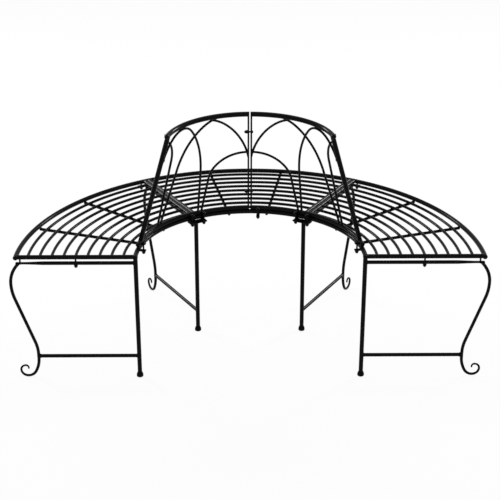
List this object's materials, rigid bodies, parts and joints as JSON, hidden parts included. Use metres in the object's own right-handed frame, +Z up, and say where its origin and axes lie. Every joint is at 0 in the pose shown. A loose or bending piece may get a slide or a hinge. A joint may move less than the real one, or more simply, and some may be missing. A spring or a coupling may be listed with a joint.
{
  "type": "semicircular garden bench",
  "caption": "Half-round metal garden bench that wraps a tree trunk, with a curved slatted seat, a leaning arched backrest on the inner side and scroll legs.",
  "frame": {"origin": "centre of the bounding box on the floor plane", "axes": "+X to the right end seen from the open side, +Y away from the open side to the back of the curve, +Z up"},
  "size_m": [1.6026, 0.7924, 0.8608],
  "materials": {
    "frame_coat": "satin black powder coat",
    "fasteners": "black coated bolts, studs and domed nuts",
    "foot_plastic": "black moulded plastic"
  },
  "bodies": {
    "root": {"back_bolts": "fasteners", "cap_nuts": "fasteners", "joining_bolts": "fasteners", "left_back_bottom_rail": "frame_coat", "left_back_centre_arch": "frame_coat", "left_back_centre_post": "frame_coat", "left_back_end_arch": "frame_coat", "left_back_end_post": "frame_coat", "left_back_far_arch": "frame_coat", "left_back_foot_cap": "foot_plastic", "left_back_frame_rail": "frame_coat", "left_back_inner_leg": "frame_coat", "left_back_near_arch": "frame_coat", "left_back_scroll_leg": "frame_coat", "left_back_stretcher": "frame_coat", "left_back_top_rail": "frame_coat", "left_front_foot_cap": "foot_plastic", "left_front_frame_rail": "frame_coat", "left_front_inner_leg": "frame_coat", "left_front_scroll_leg": "frame_coat", "left_front_stretcher": "frame_coat", "left_seat_cross_bars": "frame_coat", "left_seat_end_bars": "frame_coat", "left_seat_inner_rim": "frame_coat", "left_seat_outer_rim": "frame_coat", "left_seat_slats": "frame_coat", "leg_plates": "frame_coat", "middle_seat_cross_bars": "frame_coat", "middle_seat_end_bars": "frame_coat", "middle_seat_inner_rim": "frame_coat", "middle_seat_outer_rim": "frame_coat", "middle_seat_slats": "frame_coat", "rail_lugs": "frame_coat", "right_back_bottom_rail": "frame_coat", "right_back_centre_arch": "frame_coat", "right_back_centre_post": "frame_coat", "right_back_end_arch": "frame_coat", "right_back_end_post": "frame_coat", "right_back_far_arch": "frame_coat", "right_back_foot_cap": "foot_plastic", "right_back_frame_rail": "frame_coat", "right_back_inner_leg": "frame_coat", "right_back_near_arch": "frame_coat", "right_back_scroll_leg": "frame_coat", "right_back_stretcher": "frame_coat", "right_back_top_rail": "frame_coat", "right_front_foot_cap": "foot_plastic", "right_front_frame_rail": "frame_coat", "right_front_inner_leg": "frame_coat", "right_front_scroll_leg": "frame_coat", "right_front_stretcher": "frame_coat", "right_seat_cross_bars": "frame_coat", "right_seat_end_bars": "frame_coat", "right_seat_inner_rim": "frame_coat", "right_seat_outer_rim": "frame_coat", "right_seat_slats": "frame_coat", "rim_lugs": "frame_coat", "rim_plates": "frame_coat", "seat_studs": "fasteners"}
  },
  "joints": []
}
